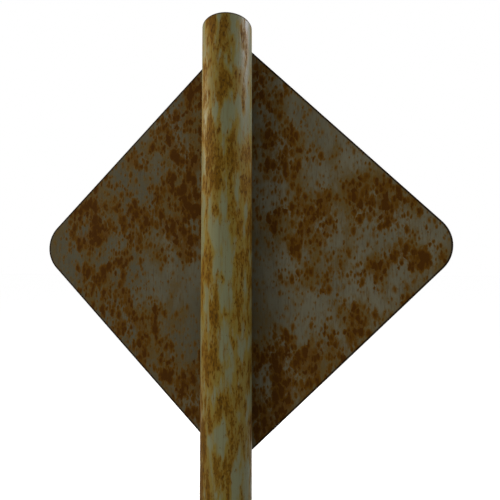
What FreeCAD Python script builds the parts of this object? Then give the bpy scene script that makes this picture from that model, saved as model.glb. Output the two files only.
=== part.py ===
import FreeCAD, Part
import math
import os

import Sketcher
from FreeCAD import Placement, Rotation, Vector

# Signpost with a diamond sign: a square steel panel on its corner, held to a round steel post.
# Millimetres. +Z is up and the origin is the centre of the base plate's underside. The sign
# faces -Y. The panel is fixed from its front: each bolt runs through the panel and a saddle into
# a rivet nut set in the post's front wall, so nothing shows on the back of the post.

DIMENSIONS = [
    # sign panel: a square that stands on one corner
    ("panelSide", 500.0),
    ("panelCornerRadius", 50.0),
    ("panelThickness", 2.0),
    ("groundClearance", 1500.0),  # ground to the sign's lowest point
    # films on the panel's front
    ("sheetingThickness", 0.4),
    ("sheetingMargin", 1.0),
    ("borderMargin", 12.0),
    ("borderWidth", 14.0),
    ("legendThickness", 0.2),
    ("arrowShaftWidth", 46.0),
    ("arrowShaftLength", 125.0),
    ("arrowArmLength", 75.0),
    ("arrowHeadWidth", 118.0),
    ("arrowHeadLength", 82.0),
    ("arrowOffset", 42.0),  # shaft's centreline, left of the panel's centre
    ("arrowBendHeight", 8.0),  # bend, above the panel's centre
    # post and its cap
    ("postDiameter", 76.1),
    ("postWall", 3.2),
    ("postRise", 0.0),  # cap's rim, above the sign's highest point
    ("drainDiameter", 10.0),
    ("drainHeight", 20.0),  # drain hole's centre, above the base plate
    ("capRimHeight", 1.5),
    ("capDomeRise", 4.0),
    ("capSkirtLength", 24.0),
    ("capSkirtWall", 2.5),
    ("capClearance", 0.1),
    # fixings, the same at both heights
    ("fixingSpacing", 400.0),
    ("saddleWeb", 4.0),  # saddle's thickness between panel and post
    ("saddleWidth", 50.0),
    ("saddleHeight", 60.0),
    ("saddleWing", 8.0),  # how far the saddle's wings reach back past the post's front
    ("saddleEdgeRadius", 2.0),
    ("boltDiameter", 8.0),
    ("boltLength", 25.0),
    ("boltPoint", 1.0),
    ("headAcrossFlats", 13.0),
    ("headHeight", 5.3),
    ("headCrownDiameter", 12.4),  # flat circle left on the head by its chamfer
    ("headChamferAngle", 30.0),  # degrees
    ("boltHoleClearance", 0.5),
    ("flatWasherDiameter", 24.0),
    ("flatWasherThickness", 2.0),
    ("sealWasherDiameter", 28.0),
    ("sealWasherThickness", 1.5),
    ("nutBodyDiameter", 11.0),
    ("nutFlangeDiameter", 16.0),
    ("nutFlangeThickness", 1.5),
    ("nutBulgeDiameter", 15.0),
    ("nutBulgeHeight", 2.0),
    ("nutTaper", 1.5),
    ("nutLength", 18.0),
    ("nutClearance", 0.05),
    # base plate
    ("baseSide", 250.0),
    ("baseThickness", 12.0),
    ("baseCornerRadius", 18.0),
    ("baseEdgeChamfer", 1.0),
    ("anchorHoleDiameter", 18.0),
    ("anchorEdge", 30.0),  # hole's centre to the plate's edge
    ("ventDiameter", 40.0),
    # gussets and welds
    ("gussetSetback", 22.0),  # gusset's outer end to the plate's edge
    ("gussetHeight", 80.0),
    ("gussetThickness", 6.0),
    ("gussetSnipe", 12.0),
    ("gussetToe", 10.0),
    ("postWeldLeg", 6.0),
    ("gussetWeldLeg", 4.0),
]

# lengths worked out from the driving dimensions, as expressions
POST_RADIUS = "(Dimensions.postDiameter / 2)"
BORE_RADIUS = f"({POST_RADIUS} - Dimensions.postWall)"
SIGN_TIP = (
    "(Dimensions.panelSide / sqrt(2)"
    " - Dimensions.panelCornerRadius * (sqrt(2) - 1))"
)  # panel's centre to its rounded corner
SIGN_CENTRE = f"(Dimensions.groundClearance + {SIGN_TIP})"
POST_TOP = (
    f"({SIGN_CENTRE} + {SIGN_TIP} + Dimensions.postRise - Dimensions.capRimHeight)"
)
BOLT_HOLE_RADIUS = "(Dimensions.boltDiameter / 2 + Dimensions.boltHoleClearance)"
# distances in front of the post's axis
PANEL_BACK = f"({POST_RADIUS} + Dimensions.saddleWeb)"
PANEL_FRONT = f"({PANEL_BACK} + Dimensions.panelThickness)"
SHEETING_FRONT = f"({PANEL_FRONT} + Dimensions.sheetingThickness)"
SEAL_FRONT = f"({SHEETING_FRONT} + Dimensions.sealWasherThickness)"
WASHER_FRONT = f"({SEAL_FRONT} + Dimensions.flatWasherThickness)"
# on the base plate, from the post's axis
ANCHOR_REACH = "(Dimensions.baseSide / 2 - Dimensions.anchorEdge)"
GUSSET_REACH = "(Dimensions.baseSide / 2 - Dimensions.gussetSetback)"

SAME_PLACE = 1e-6
FACING_FRONT = Rotation(Vector(1, 0, 0), 90)  # turns a piece's own +Z to -Y
FIXINGS = {"upper": 1, "lower": -1}
GUSSETS = {"right": 0, "back": 90, "left": 180, "front": 270}

doc = FreeCAD.newDocument("Signpost")
subparts = []


def makeSheet():
    """The spreadsheet of driving dimensions."""
    sheet = doc.addObject("Spreadsheet::Sheet", "Dimensions")
    for row, (alias, value) in enumerate(DIMENSIONS, start=1):
        sheet.set(f"A{row}", str(value))
        sheet.setAlias(f"A{row}", alias)
    doc.recompute()


def makeBody(label):
    """A new body, kept as a sub-part."""
    body = doc.addObject("PartDesign::Body", label)
    body.Label = label
    subparts.append(body)
    return body


def addPrimitive(kind, name, **expressions):
    """A Part primitive or operation with its sizes bound to the sheet."""
    piece = doc.addObject(kind, name)
    for prop, expression in expressions.items():
        piece.setExpression(prop, expression)
    return piece


def place(piece, turn=None, **base):
    """Turns a piece and binds its position's x, y or z to the sheet."""
    piece.Placement = Placement(Vector(), turn or Rotation())
    for axis, expression in base.items():
        piece.setExpression(f"Placement.Base.{axis}", expression)


def addSketch(body, name, role):
    """A sketch on one of the body's own origin planes."""
    sketch = body.newObject("Sketcher::SketchObject", name)
    plane = next(f for f in body.Origin.OriginFeatures if f.Role == role)
    sketch.AttachmentSupport = [(plane, "")]
    sketch.MapMode = "FlatFace"
    return sketch


def bind(sketch, name, constraint, expression):
    """Adds a named dimension and ties it to its expression."""
    index = sketch.addConstraint(constraint)
    sketch.renameConstraint(index, name)
    sketch.setExpression(f"Constraints.{name}", expression)


def bindPoint(sketch, name, geometry, end, x, y):
    """Holds one point of the sketch at x, y from its origin."""
    now = sketch.getPoint(geometry, end)
    across = Sketcher.Constraint("DistanceX", -1, 1, geometry, end, now.x)
    upward = Sketcher.Constraint("DistanceY", -1, 1, geometry, end, now.y)
    bind(sketch, f"{name}x", across, x)
    bind(sketch, f"{name}y", upward, y)


def drawPolygon(sketch, points, arc=None):
    """A closed outline through points given as expressions, of straight lines but for one arc.

    The arc, if any, starts at the point of that number and is centred on the vertical axis.
    """
    count = len(points)
    start = sketch.GeometryCount
    circle = Part.Circle(Vector(), Vector(0, 0, 1), 100)
    turns = [2 * math.pi * i / count for i in range(count + 1)]
    for i in range(count):
        side = Part.ArcOfCircle(circle, turns[i], turns[i + 1])
        if i != arc:
            side = Part.LineSegment(side.StartPoint, side.EndPoint)
        sketch.addGeometry(side)
    for i in range(count):
        after = start + (i + 1) % count
        sketch.addConstraint(Sketcher.Constraint("Coincident", start + i, 2, after, 1))
    for i, (x, y) in enumerate(points):
        bindPoint(sketch, f"point{start + i}", start + i, 1, x, y)
    if arc is not None:
        sketch.addConstraint(Sketcher.Constraint("PointOnObject", start + arc, 3, -2))


def drawCircle(sketch, radius, x="0", y="0"):
    """A circle whose radius and centre are expressions."""
    circle = sketch.addGeometry(Part.Circle(Vector(), Vector(0, 0, 1), 10))
    bindPoint(sketch, f"centre{circle}", circle, 3, x, y)
    size = Sketcher.Constraint("Radius", circle, 10)
    bind(sketch, f"radius{circle}", size, radius)


def addPad(body, sketch, length, both=False):
    """Pads the sketch along its normal, or half each way."""
    pad = body.newObject("PartDesign::Pad", f"{sketch.Name}Pad")
    pad.Profile = sketch
    pad.Midplane = both
    pad.setExpression("Length", length)
    sketch.Visibility = False
    doc.recompute()
    return pad


def addPocket(body, sketch, length=None, alongNormal=False):
    """Cuts the sketch right through, or to a length one way from its plane."""
    before = body.Shape.Volume
    pocket = body.newObject("PartDesign::Pocket", f"{sketch.Name}Pocket")
    pocket.Profile = sketch
    if length is None:
        pocket.Type = "ThroughAll"
        pocket.Midplane = True
    else:
        pocket.Reversed = alongNormal
        pocket.setExpression("Length", length)
    sketch.Visibility = False
    doc.recompute()
    if body.Shape.Volume >= before:
        raise RuntimeError(f"{pocket.Label} of {body.Label} cuts nothing")
    return pocket


def edgesAlong(shape, axis):
    """Names of the straight edges that run along an axis."""
    names = []
    for number, edge in enumerate(shape.Edges, start=1):
        straight = isinstance(edge.Curve, Part.Line)
        if straight and abs(edge.Curve.Direction.dot(axis)) > 0.999:
            names.append(f"Edge{number}")
    return names


def roundEdges(body, base, axis, radius):
    """Fillets every straight edge of the base feature that runs along the axis."""
    fillet = body.newObject("PartDesign::Fillet", f"{base.Name}Rounding")
    fillet.Base = (base, edgesAlong(base.Shape, axis))
    fillet.setExpression("Radius", radius)
    doc.recompute()
    return fillet


def drawDiamond(sketch, side):
    """A square of that side, standing on one corner."""
    half = f"({side}) / sqrt(2)"
    drawPolygon(sketch, [(half, "0"), ("0", half), (f"-{half}", "0"), ("0", f"-{half}")])


def addDiamond(body, name, margin, thickness):
    """A plate with the panel's rounded outline, drawn in by a margin all round."""
    outline = addSketch(body, name, "XZ_Plane")
    drawDiamond(outline, f"Dimensions.panelSide - 2 * ({margin})")
    plate = addPad(body, outline, thickness)
    radius = f"Dimensions.panelCornerRadius - ({margin})"
    return roundEdges(body, plate, Vector(0, 1, 0), radius)


def addFixingHoles(body, radius):
    """Two round holes through a sign layer, on its vertical centreline."""
    holes = addSketch(body, "FixingHoles", "XZ_Plane")
    for side in FIXINGS.values():
        drawCircle(holes, radius, y=f"{side} * Dimensions.fixingSpacing / 2")
    return addPocket(body, holes)


def makeSignPanel():
    """Flat steel sheet that carries the sign's face."""
    body = makeBody("sign_panel")
    addDiamond(body, "PanelOutline", "0", "Dimensions.panelThickness")
    addFixingHoles(body, BOLT_HOLE_RADIUS)
    place(body, y=f"-{PANEL_BACK}", z=SIGN_CENTRE)


def makeSheeting():
    """Reflective film over the panel's front, trimmed just inside its edge."""
    body = makeBody("face_sheeting")
    margin = "Dimensions.sheetingMargin"
    addDiamond(body, "SheetingOutline", margin, "Dimensions.sheetingThickness")
    addFixingHoles(body, BOLT_HOLE_RADIUS)
    place(body, y=f"-{PANEL_FRONT}", z=SIGN_CENTRE)


def makeBorder():
    """Black band of film that follows the panel's edge."""
    body = makeBody("face_border")
    outer = "Dimensions.borderMargin"
    addDiamond(body, "BorderOutline", outer, "Dimensions.legendThickness")
    inside = addSketch(body, "BorderInside", "XZ_Plane")
    inner = f"({outer} + Dimensions.borderWidth)"
    drawDiamond(inside, f"Dimensions.panelSide - 2 * {inner}")
    cut = addPocket(body, inside)
    corners = []
    for name in edgesAlong(cut.Shape, Vector(0, 1, 0)):
        middle = cut.Shape.getElement(name).CenterOfMass
        if min(abs(middle.x), abs(middle.z)) < SAME_PLACE:
            corners.append(name)
    rounding = body.newObject("PartDesign::Fillet", "BorderInsideRounding")
    rounding.Base = (cut, corners)
    rounding.setExpression("Radius", f"Dimensions.panelCornerRadius - {inner}")
    place(body, y=f"-{SHEETING_FRONT}", z=SIGN_CENTRE)


def makeArrow():
    """Black bend arrow: a shaft, a 45 degree bend to the right and a head."""
    body = makeBody("face_arrow")
    sketch = addSketch(body, "ArrowOutline", "XZ_Plane")
    half = "Dimensions.arrowShaftWidth / 2"
    wide = "Dimensions.arrowHeadWidth / 2"
    left = "-Dimensions.arrowOffset"
    bend = "Dimensions.arrowBendHeight"
    foot = f"{bend} - Dimensions.arrowShaftLength"
    mitre = f"{half} * tan(22.5 deg)"
    neck = "Dimensions.arrowArmLength"
    point = f"({neck} + Dimensions.arrowHeadLength)"

    def alongArm(length, aside):
        """A point on the slanting arm, to the right of its centreline."""
        x = f"{left} + ({length} + {aside}) / sqrt(2)"
        return x, f"{bend} + ({length} - ({aside})) / sqrt(2)"

    outline = [
        (f"{left} - {half}", foot),
        (f"{left} + {half}", foot),
        (f"{left} + {half}", f"{bend} - {mitre}"),
        alongArm(neck, half),
        alongArm(neck, wide),
        alongArm(point, "0"),
        alongArm(neck, f"-{wide}"),
        alongArm(neck, f"-{half}"),
        (f"{left} - {half}", f"{bend} + {mitre}"),
    ]
    drawPolygon(sketch, outline)
    addPad(body, sketch, "Dimensions.legendThickness")
    place(body, y=f"-{SHEETING_FRONT}", z=SIGN_CENTRE)


def makePostTube():
    """Round hollow section, with two holes in its front wall and a drain at the back."""
    body = makeBody("post_tube")
    section = addSketch(body, "PostSection", "XY_Plane")
    drawCircle(section, POST_RADIUS)
    drawCircle(section, BORE_RADIUS)
    addPad(body, section, f"{POST_TOP} - Dimensions.baseThickness")
    holes = addSketch(body, "RivetNutHoles", "XZ_Plane")
    radius = "Dimensions.nutBodyDiameter / 2 + Dimensions.nutClearance"
    height = f"{SIGN_CENTRE} - Dimensions.baseThickness"
    for side in FIXINGS.values():
        offset = f"{side} * Dimensions.fixingSpacing / 2"
        drawCircle(holes, radius, y=f"{height} + {offset}")
    addPocket(body, holes, "Dimensions.postDiameter", alongNormal=True)
    drain = addSketch(body, "DrainHole", "XZ_Plane")
    drawCircle(drain, "Dimensions.drainDiameter / 2", y="Dimensions.drainHeight")
    addPocket(body, drain, "Dimensions.postDiameter")
    place(body, z="Dimensions.baseThickness")


def makePostCap():
    """Low domed cap: its skirt fits the post's bore and its rim is flush with the post."""
    body = makeBody("post_cap")
    sketch = addSketch(body, "CapProfile", "XZ_Plane")
    skirt = f"({BORE_RADIUS} - Dimensions.capClearance)"
    inner = f"{skirt} - Dimensions.capSkirtWall"
    foot = "-Dimensions.capSkirtLength"
    rim = "Dimensions.capRimHeight"
    crown = f"{rim} + Dimensions.capDomeRise"
    outline = [
        ("0", "0"),
        (inner, "0"),
        (inner, foot),
        (skirt, foot),
        (skirt, "0"),
        (POST_RADIUS, "0"),
        (POST_RADIUS, rim),
        ("0", crown),
    ]
    drawPolygon(sketch, outline, arc=6)
    turned = body.newObject("PartDesign::Revolution", "CapTurned")
    turned.Profile = sketch
    turned.ReferenceAxis = (sketch, ["V_Axis"])
    turned.Angle = 360
    place(body, z=POST_TOP)


def makeSaddle(name, side):
    """Spacer with a flat front for the panel and a hollow back that fits the post."""
    body = makeBody(f"{name}_saddle")
    block = addSketch(body, "SaddleBlock", "XY_Plane")
    half = "Dimensions.saddleWidth / 2"
    front = f"-{PANEL_BACK}"
    back = f"-({POST_RADIUS} - Dimensions.saddleWing)"
    corners = [
        (f"-{half}", front),
        (half, front),
        (half, back),
        (f"-{half}", back),
    ]
    drawPolygon(block, corners)
    solid = addPad(body, block, "Dimensions.saddleHeight", both=True)
    roundEdges(body, solid, Vector(0, 1, 0), "Dimensions.saddleEdgeRadius")
    seat = addSketch(body, "PostSeat", "XY_Plane")
    drawCircle(seat, POST_RADIUS)
    addPocket(body, seat)
    hole = addSketch(body, "BoltHole", "XZ_Plane")
    drawCircle(hole, BOLT_HOLE_RADIUS)
    addPocket(body, hole)
    recess = addSketch(body, "FlangeRecess", "XZ_Plane")
    drawCircle(
        recess, "Dimensions.nutFlangeDiameter / 2 + Dimensions.boltHoleClearance"
    )
    depth = f"{POST_RADIUS} + Dimensions.nutFlangeThickness + Dimensions.nutClearance"
    addPocket(body, recess, depth, alongNormal=True)
    place(body, z=f"{SIGN_CENTRE} + {side} * Dimensions.fixingSpacing / 2")


def makeRivetNut(name, side):
    """Threaded insert set in the post's wall: flange outside, collapsed collar inside."""
    label = f"{name}_rivet_nut"
    flange = addPrimitive(
        "Part::Cylinder",
        f"{label}Flange",
        Radius="Dimensions.nutFlangeDiameter / 2",
        Height=f"{POST_RADIUS} + Dimensions.nutFlangeThickness",
    )
    wall = addPrimitive(
        "Part::Cylinder",
        f"{label}PostWall",
        Radius=POST_RADIUS,
        Height="2 * Dimensions.nutFlangeDiameter",
    )
    wall.Placement.Rotation = FACING_FRONT
    wall.setExpression("Placement.Base.y", "Dimensions.nutFlangeDiameter")
    seated = doc.addObject("Part::Cut", f"{label}SeatedFlange")
    seated.Base = flange
    seated.Tool = wall
    shankRadius = "Dimensions.nutBodyDiameter / 2"
    collarRadius = "Dimensions.nutBulgeDiameter / 2"
    foot = f"{POST_RADIUS} + Dimensions.nutFlangeThickness - Dimensions.nutLength"
    shank = addPrimitive(
        "Part::Cylinder",
        f"{label}Shank",
        Radius=shankRadius,
        Height="Dimensions.nutLength",
    )
    shank.setExpression("Placement.Base.z", foot)
    # where the round bore's wall lies at the collar's edge, from the post's axis
    reach = f"sqrt({BORE_RADIUS} ^ 2 - ({collarRadius}) ^ 2) - Dimensions.nutClearance"
    collar = addPrimitive(
        "Part::Cylinder",
        f"{label}Collar",
        Radius=collarRadius,
        Height="Dimensions.nutBulgeHeight",
    )
    collar.setExpression("Placement.Base.z", f"{reach} - Dimensions.nutBulgeHeight")
    taper = addPrimitive(
        "Part::Cone",
        f"{label}Taper",
        Radius1=shankRadius,
        Radius2=collarRadius,
        Height="Dimensions.nutTaper",
    )
    below = f"{reach} - Dimensions.nutBulgeHeight - Dimensions.nutTaper"
    taper.setExpression("Placement.Base.z", below)
    insert = doc.addObject("Part::MultiFuse", f"{label}Insert")
    insert.Shapes = [seated, shank, collar, taper]
    thread = addPrimitive(
        "Part::Cylinder",
        f"{label}Thread",
        Radius="Dimensions.boltDiameter / 2 + Dimensions.nutClearance",
        Height=f"{POST_RADIUS} + Dimensions.nutFlangeThickness",
    )
    nut = doc.addObject("Part::Cut", label)
    nut.Label = label
    nut.Base = insert
    nut.Tool = thread
    height = f"{SIGN_CENTRE} + {side} * Dimensions.fixingSpacing / 2"
    place(nut, FACING_FRONT, z=height)
    subparts.append(nut)


def makeWasher(label, side, diameter, thickness, distance):
    """Flat ring on a fixing's axis, seated at a distance in front of the post's axis."""
    body = makeBody(label)
    ring = addSketch(body, "Ring", "XY_Plane")
    drawCircle(ring, f"{diameter} / 2")
    drawCircle(ring, BOLT_HOLE_RADIUS)
    addPad(body, ring, thickness)
    height = f"{SIGN_CENTRE} + {side} * Dimensions.fixingSpacing / 2"
    place(body, FACING_FRONT, y=f"-{distance}", z=height)


def makeBolt(name, side):
    """Hexagon-headed bolt, pushed in from the front of the panel."""
    label = f"{name}_bolt"
    height = "Dimensions.headHeight"
    prism = addPrimitive(
        "Part::Prism",
        f"{label}Hexagon",
        Circumradius="Dimensions.headAcrossFlats / sqrt(3)",
        Height=height,
    )
    prism.Polygon = 6
    crown = "Dimensions.headCrownDiameter / 2"
    cone = addPrimitive(
        "Part::Cone",
        f"{label}HeadCone",
        Radius1=f"{crown} + {height} / tan(Dimensions.headChamferAngle)",
        Radius2=crown,
        Height=height,
    )
    head = doc.addObject("Part::Common", f"{label}Head")
    head.Base = prism
    head.Tool = cone
    radius = "Dimensions.boltDiameter / 2"
    shank = addPrimitive(
        "Part::Cylinder",
        f"{label}Shank",
        Radius=radius,
        Height="Dimensions.boltLength - Dimensions.boltPoint",
    )
    shank.setExpression(
        "Placement.Base.z", "Dimensions.boltPoint - Dimensions.boltLength"
    )
    point = addPrimitive(
        "Part::Cone",
        f"{label}Point",
        Radius1=f"{radius} - Dimensions.boltPoint",
        Radius2=radius,
        Height="Dimensions.boltPoint",
    )
    point.setExpression("Placement.Base.z", "-Dimensions.boltLength")
    bolt = doc.addObject("Part::MultiFuse", label)
    bolt.Label = label
    bolt.Shapes = [head, shank, point]
    level = f"{SIGN_CENTRE} + {side} * Dimensions.fixingSpacing / 2"
    place(bolt, FACING_FRONT, y=f"-{WASHER_FRONT}", z=level)
    subparts.append(bolt)


def makeFixing(name, side):
    """All that holds the panel to the post at one height."""
    makeSaddle(name, side)
    makeRivetNut(name, side)
    makeWasher(
        f"{name}_seal_washer",
        side,
        "Dimensions.sealWasherDiameter",
        "Dimensions.sealWasherThickness",
        SHEETING_FRONT,
    )
    makeWasher(
        f"{name}_flat_washer",
        side,
        "Dimensions.flatWasherDiameter",
        "Dimensions.flatWasherThickness",
        SEAL_FRONT,
    )
    makeBolt(name, side)


def makeBasePlate():
    """Square foot of the post, with four anchor holes and a vent under the tube."""
    body = makeBody("base_plate")
    outline = addSketch(body, "BaseOutline", "XY_Plane")
    half = "Dimensions.baseSide / 2"
    minus = f"-{half}"
    drawPolygon(outline, [(minus, minus), (half, minus), (half, half), (minus, half)])
    plate = addPad(body, outline, "Dimensions.baseThickness")
    rounding = roundEdges(
        body, plate, Vector(0, 0, 1), "Dimensions.baseCornerRadius"
    )
    top = max(rounding.Shape.Faces, key=lambda face: face.CenterOfMass.z)
    number = next(i for i, f in enumerate(rounding.Shape.Faces, 1) if f.isSame(top))
    chamfer = body.newObject("PartDesign::Chamfer", "TopEdgeChamfer")
    chamfer.Base = (rounding, [f"Face{number}"])
    chamfer.setExpression("Size", "Dimensions.baseEdgeChamfer")
    doc.recompute()
    vent = addSketch(body, "VentHole", "XY_Plane")
    drawCircle(vent, "Dimensions.ventDiameter / 2")
    addPocket(body, vent)
    anchor = addSketch(body, "AnchorHole", "XY_Plane")
    drawCircle(
        anchor, "Dimensions.anchorHoleDiameter / 2", ANCHOR_REACH, ANCHOR_REACH
    )
    hole = addPocket(body, anchor)
    pattern = body.newObject("PartDesign::PolarPattern", "AnchorHoles")
    pattern.Originals = [hole]
    pattern.Axis = (anchor, ["N_Axis"])
    pattern.Angle = 360
    pattern.Occurrences = 4
    body.Tip = pattern


def makeGusset(name, angle):
    """Triangular rib between base plate and post, snipped to clear the post's weld."""
    body = makeBody(f"gusset_{name}")
    sketch = addSketch(body, "GussetOutline", "XZ_Plane")
    buried = f"{POST_RADIUS} - Dimensions.gussetThickness"
    land = f"{POST_RADIUS} + Dimensions.gussetToe"
    snipe = "Dimensions.gussetSnipe"
    outline = [
        (buried, snipe),
        (POST_RADIUS, snipe),
        (f"{POST_RADIUS} + {snipe}", "0"),
        (GUSSET_REACH, "0"),
        (GUSSET_REACH, "Dimensions.gussetToe"),
        (land, "Dimensions.gussetHeight"),
        (buried, "Dimensions.gussetHeight"),
    ]
    drawPolygon(sketch, outline)
    addPad(body, sketch, "Dimensions.gussetThickness", both=True)
    post = addSketch(body, "PostOutline", "XY_Plane")
    drawCircle(post, POST_RADIUS)
    addPocket(body, post)
    place(body, Rotation(Vector(0, 0, 1), angle), z="Dimensions.baseThickness")


def makePostWeld():
    """Fillet weld all round the foot of the post."""
    body = makeBody("post_weld")
    sketch = addSketch(body, "WeldProfile", "XZ_Plane")
    leg = "Dimensions.postWeldLeg"
    toe = f"{POST_RADIUS} + {leg}"
    drawPolygon(sketch, [(POST_RADIUS, "0"), (toe, "0"), (POST_RADIUS, leg)])
    ring = body.newObject("PartDesign::Revolution", "WeldRing")
    ring.Profile = sketch
    ring.ReferenceAxis = (sketch, ["V_Axis"])
    ring.Angle = 360
    place(body, z="Dimensions.baseThickness")


def addBead(name, length):
    """Straight fillet weld along its own +X, with its legs along +Y and +Z."""
    leg = "Dimensions.gussetWeldLeg"
    bead = addPrimitive(
        "Part::Wedge", name, Xmax=length, X2max=length, Ymax=leg, Zmax=leg
    )
    bead.Xmin = bead.X2min = bead.Ymin = bead.Zmin = bead.Z2min = bead.Z2max = 0
    return bead


def makeGussetWelds(name, angle, post):
    """Fillet welds on both sides of one gusset, along the base plate and up the post."""
    side = "Dimensions.gussetThickness / 2"
    snipe = "Dimensions.gussetSnipe"
    inner = f"({POST_RADIUS} + {snipe})"
    surface = f"sqrt({POST_RADIUS} ^ 2 - ({side} + Dimensions.gussetWeldLeg) ^ 2)"
    away, tangent, up = Vector(1, 0, 0), Vector(0, 1, 0), Vector(0, 0, 1)
    beads = []
    for hand in (1, -1):
        tag = f"gusset_{name}{'Left' if hand > 0 else 'Right'}"
        foot = addBead(f"{tag}FootBead", f"{GUSSET_REACH} - {inner}")
        turn = Rotation(away * hand, tangent * hand, up, "XYZ")
        place(foot, turn, x=inner if hand > 0 else GUSSET_REACH, y=f"{hand} * {side}")
        rising = addBead(f"{tag}PostBead", f"Dimensions.gussetHeight - {snipe}")
        turn = Rotation(up * hand, away, tangent * hand, "XYZ")
        level = snipe if hand > 0 else "Dimensions.gussetHeight"
        place(rising, turn, x=surface, y=f"{hand} * {side}", z=level)
        seated = doc.addObject("Part::Cut", f"{tag}SeatedBead")
        seated.Base = rising
        seated.Tool = post
        beads += [foot, seated]
    label = f"gusset_{name}_welds"
    welds = doc.addObject("Part::Compound", label)
    welds.Label = label
    welds.Links = beads
    place(welds, Rotation(up, angle), z="Dimensions.baseThickness")
    subparts.append(welds)


def checkObjects():
    """Stops if any object failed or a sub-part isn't made of sound solids."""
    for thing in doc.Objects:
        if "Invalid" in thing.State or "Error" in thing.State:
            raise RuntimeError(f"{thing.Label} failed: {thing.State}")
    for piece in subparts:
        shape = piece.Shape
        sound = not shape.isNull() and shape.isValid() and shape.Solids
        if not sound or shape.Volume <= 0:
            raise RuntimeError(f"{piece.Label} is not a sound solid")


def writeParts():
    """Writes each sub-part to its own STEP file."""
    os.makedirs("parts", exist_ok=True)
    for piece in subparts:
        piece.Shape.exportStep(f"parts/{piece.Label}.step")
        solids = len(piece.Shape.Solids)
        print(f"{piece.Label}: {solids} solid, {piece.Shape.Volume:.0f} mm3")


makeSheet()
makeSignPanel()
makeSheeting()
makeBorder()
makeArrow()
makePostTube()
makePostCap()
for fixing, direction in FIXINGS.items():
    makeFixing(fixing, direction)
makeBasePlate()
makePostWeld()
postEnvelope = addPrimitive(
    "Part::Cylinder",
    "PostEnvelope",
    Radius=POST_RADIUS,
    Height="Dimensions.gussetHeight",
)
for gusset, turning in GUSSETS.items():
    makeGusset(gusset, turning)
    makeGussetWelds(gusset, turning, postEnvelope)
doc.recompute()
checkObjects()
writeParts()
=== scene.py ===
import math

import bmesh
import bpy
import numpy as np
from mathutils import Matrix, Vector


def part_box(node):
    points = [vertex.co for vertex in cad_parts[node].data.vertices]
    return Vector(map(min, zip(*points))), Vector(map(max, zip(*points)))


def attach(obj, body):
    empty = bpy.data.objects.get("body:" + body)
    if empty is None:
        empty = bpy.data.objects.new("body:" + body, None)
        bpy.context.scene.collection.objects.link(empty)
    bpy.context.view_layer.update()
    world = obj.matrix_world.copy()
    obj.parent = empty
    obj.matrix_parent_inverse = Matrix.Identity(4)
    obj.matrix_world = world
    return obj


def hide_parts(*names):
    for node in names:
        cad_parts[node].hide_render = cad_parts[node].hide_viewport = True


# Signpost with a diamond sign, seen from the bare back of its panel.
# Metres. +Z is up, the face looks along -Y and the origin is under the base plate.

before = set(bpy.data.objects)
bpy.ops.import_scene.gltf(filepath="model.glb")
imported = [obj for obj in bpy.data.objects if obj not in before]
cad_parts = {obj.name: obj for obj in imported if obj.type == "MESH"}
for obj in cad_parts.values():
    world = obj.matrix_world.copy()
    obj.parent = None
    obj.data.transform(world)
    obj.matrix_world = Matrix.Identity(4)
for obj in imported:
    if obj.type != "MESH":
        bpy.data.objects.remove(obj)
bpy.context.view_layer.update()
print("frame loaded with", len(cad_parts), "nodes")


def gridQuads(rows, columns, wrapped):
    # Corners of every quad between neighbouring rows and columns of a grid stored row by row.
    spans = columns if wrapped else columns - 1
    down, along = np.meshgrid(np.arange(rows - 1), np.arange(spans), indexing="ij")
    here = down * columns + along
    after = down * columns + (along + 1) % columns
    return np.stack([here, after, after + columns, here + columns], -1).reshape(-1, 4)


def placed(name, data):
    thing = bpy.data.objects.new(name, data)
    bpy.context.scene.collection.objects.link(thing)
    return thing


def makePiece(name, fields, material, weighted=True):
    # Joins grids of points into one skin. Each field is (rows x columns x 3 points, whether its last
    # column meets its first, the quads that are kept or None for all).
    points, quads, start = [], [], 0
    for field, wrapped, kept in fields:
        rows, columns = field.shape[:2]
        faces = gridQuads(rows, columns, wrapped)
        quads.append((faces if kept is None else faces[kept.ravel()]) + start)
        points.append(field.reshape(-1, 3))
        start += rows * columns
    mesh = bpy.data.meshes.new(name)
    mesh.from_pydata(np.concatenate(points).tolist(), [], np.concatenate(quads).tolist())
    skin = bmesh.new()
    skin.from_mesh(mesh)
    bmesh.ops.remove_doubles(skin, verts=skin.verts, dist=2e-6)
    loose = [corner for corner in skin.verts if not corner.link_faces]
    bmesh.ops.delete(skin, geom=loose, context="VERTS")
    bmesh.ops.recalc_face_normals(skin, faces=skin.faces)
    skin.to_mesh(mesh)
    skin.free()
    mesh.polygons.foreach_set("use_smooth", np.ones(len(mesh.polygons), bool))
    mesh.materials.append(material)
    piece = placed(name, mesh)
    if weighted:
        piece.modifiers.new("flatFacesLead", "WEIGHTED_NORMAL").keep_sharp = True
    return piece


def looped(rows):
    # The field of rows that each close on themselves.
    return np.stack(rows), True, None


def standFor(piece, slotName, *nodes):
    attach(piece, "root")
    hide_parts(*nodes)
    print("made", piece.name, "for", ", ".join(nodes))


def dressNode(name, material):
    # Gives a CAD node its finish.
    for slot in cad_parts[name].material_slots:
        slot.material = material
    print("finished", name)


def turned(points, degrees):
    # Plane points turned anticlockwise about the origin.
    angle = math.radians(degrees)
    spin = np.array([[math.cos(angle), math.sin(angle)], [-math.sin(angle), math.cos(angle)]])
    return points @ spin


def roundedSquare(side, radius, lineSteps=8, arcSteps=25):
    # Loop anticlockwise from the middle of the right side: half a side, a quarter circle and half a
    # side, carried round four times.
    half = side / 2
    line = np.linspace(0, half - radius, lineSteps, endpoint=False)
    arc = np.linspace(0, np.pi / 2, arcSteps)
    up = np.stack([np.full_like(line, half), line], 1)
    bend = half - radius + radius * np.stack([np.cos(arc), np.sin(arc)], 1)
    quarter = np.concatenate([up, bend, up[:0:-1, ::-1]])
    return np.concatenate([turned(quarter, 90 * k) for k in range(4)])


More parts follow.
